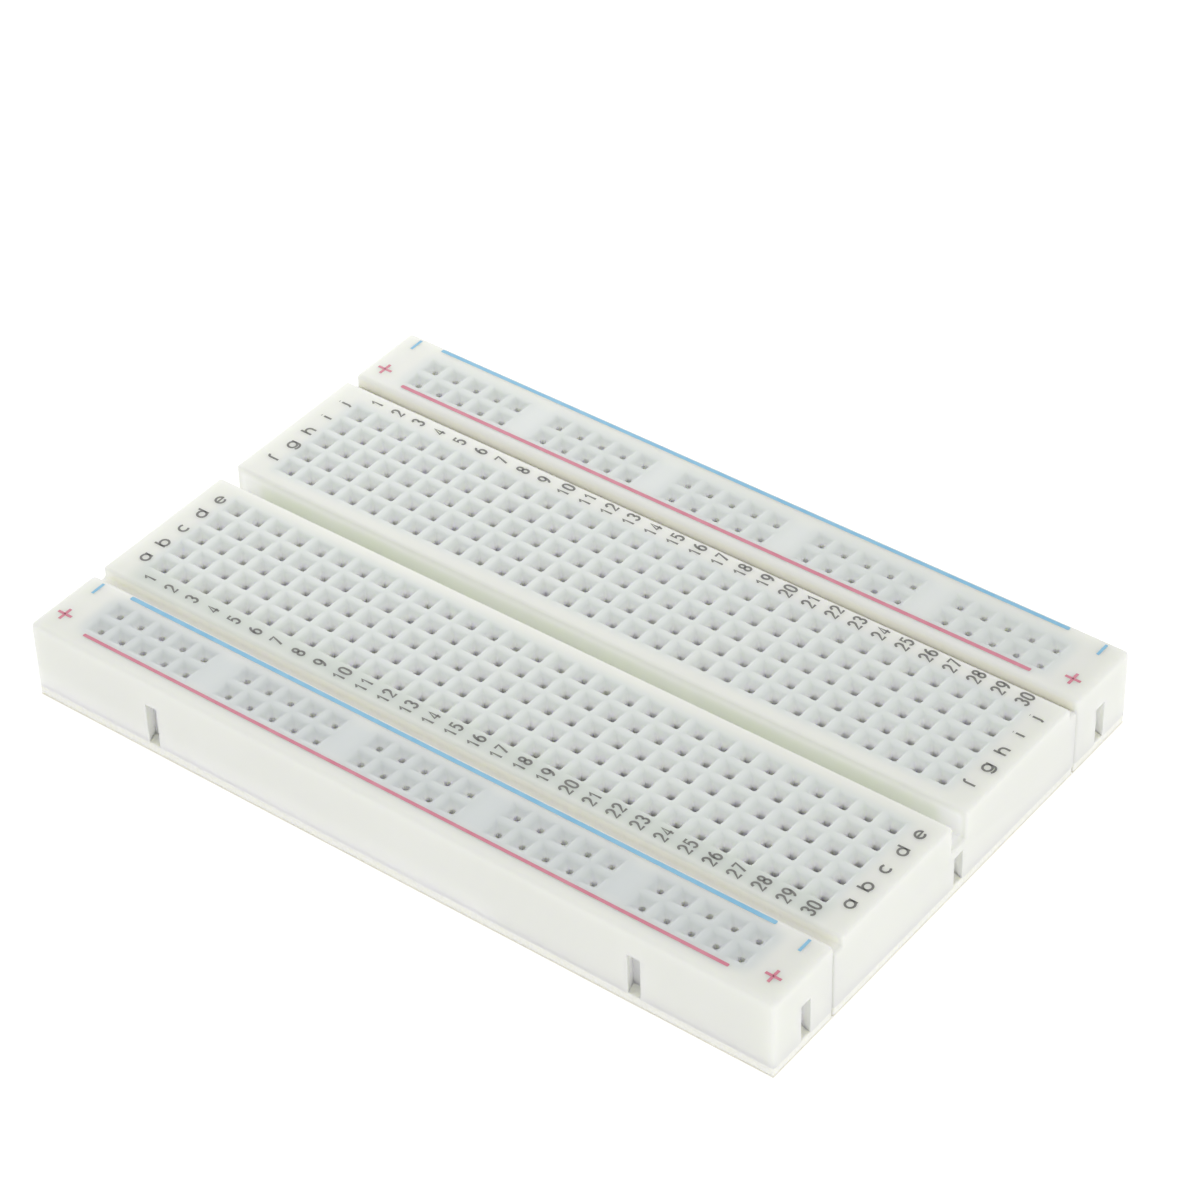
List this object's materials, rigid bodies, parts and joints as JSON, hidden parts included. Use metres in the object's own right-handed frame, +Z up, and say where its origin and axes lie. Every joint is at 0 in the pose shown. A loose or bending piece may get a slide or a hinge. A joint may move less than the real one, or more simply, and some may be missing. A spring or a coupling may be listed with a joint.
{
  "type": "solderless breadboard",
  "caption": "Flat rectangular prototyping board of three hooked strips with square tie-point holes over sprung metal contacts, a centre channel and printed power lines.",
  "frame": {"origin": "middle of the underside, below the crossing of the centre channel and the line between columns 15 and 16", "axes": "+X from column 1 to column 30, +Y from row a to row j, +Z up"},
  "size_m": [0.0836, 0.0556, 0.0085],
  "materials": {
    "moulded_abs": "satin moulded ABS",
    "spring_metal": "nickel-plated phosphor bronze sheet",
    "foam": "fine closed-cell foam tape",
    "liner": "glazed release paper",
    "ink_dark": "pad-printed ink",
    "ink_blue": "pad-printed ink",
    "ink_red": "pad-printed ink"
  },
  "bodies": {
    "front_bus": {"front_bus_body": "moulded_abs", "front_minus_rail": "spring_metal", "front_plus_rail": "spring_metal", "front_bus_foam_pad": "foam", "front_bus_liner": "liner"},
    "terminal": {"terminal_body": "moulded_abs", "clip_column_01": "spring_metal", "clip_column_02": "spring_metal", "clip_column_03": "spring_metal", "clip_column_04": "spring_metal", "clip_column_05": "spring_metal", "clip_column_06": "spring_metal", "clip_column_07": "spring_metal", "clip_column_08": "spring_metal", "clip_column_09": "spring_metal", "clip_column_10": "spring_metal", "clip_column_11": "spring_metal", "clip_column_12": "spring_metal", "clip_column_13": "spring_metal", "clip_column_14": "spring_metal", "clip_column_15": "spring_metal", "clip_column_16": "spring_metal", "clip_column_17": "spring_metal", "clip_column_18": "spring_metal", "clip_column_19": "spring_metal", "clip_column_20": "spring_metal", "clip_column_21": "spring_metal", "clip_column_22": "spring_metal", "clip_column_23": "spring_metal", "clip_column_24": "spring_metal", "clip_column_25": "spring_metal", "clip_column_26": "spring_metal", "clip_column_27": "spring_metal", "clip_column_28": "spring_metal", "clip_column_29": "spring_metal", "clip_column_30": "spring_metal", "terminal_foam_pad": "foam", "terminal_liner": "liner"},
    "rear_bus": {"rear_bus_body": "moulded_abs", "rear_plus_rail": "spring_metal", "rear_minus_rail": "spring_metal", "rear_bus_foam_pad": "foam", "rear_bus_liner": "liner"}
  },
  "joints": [
    {"name": "terminal_lift", "type": "slide", "parent": "front_bus", "child": "terminal", "axis": [0, 0, 1], "range_m": [0, 0.0046]},
    {"name": "rear_bus_lift", "type": "slide", "parent": "terminal", "child": "rear_bus", "axis": [0, 0, 1], "range_m": [0, 0.0046]}
  ]
}
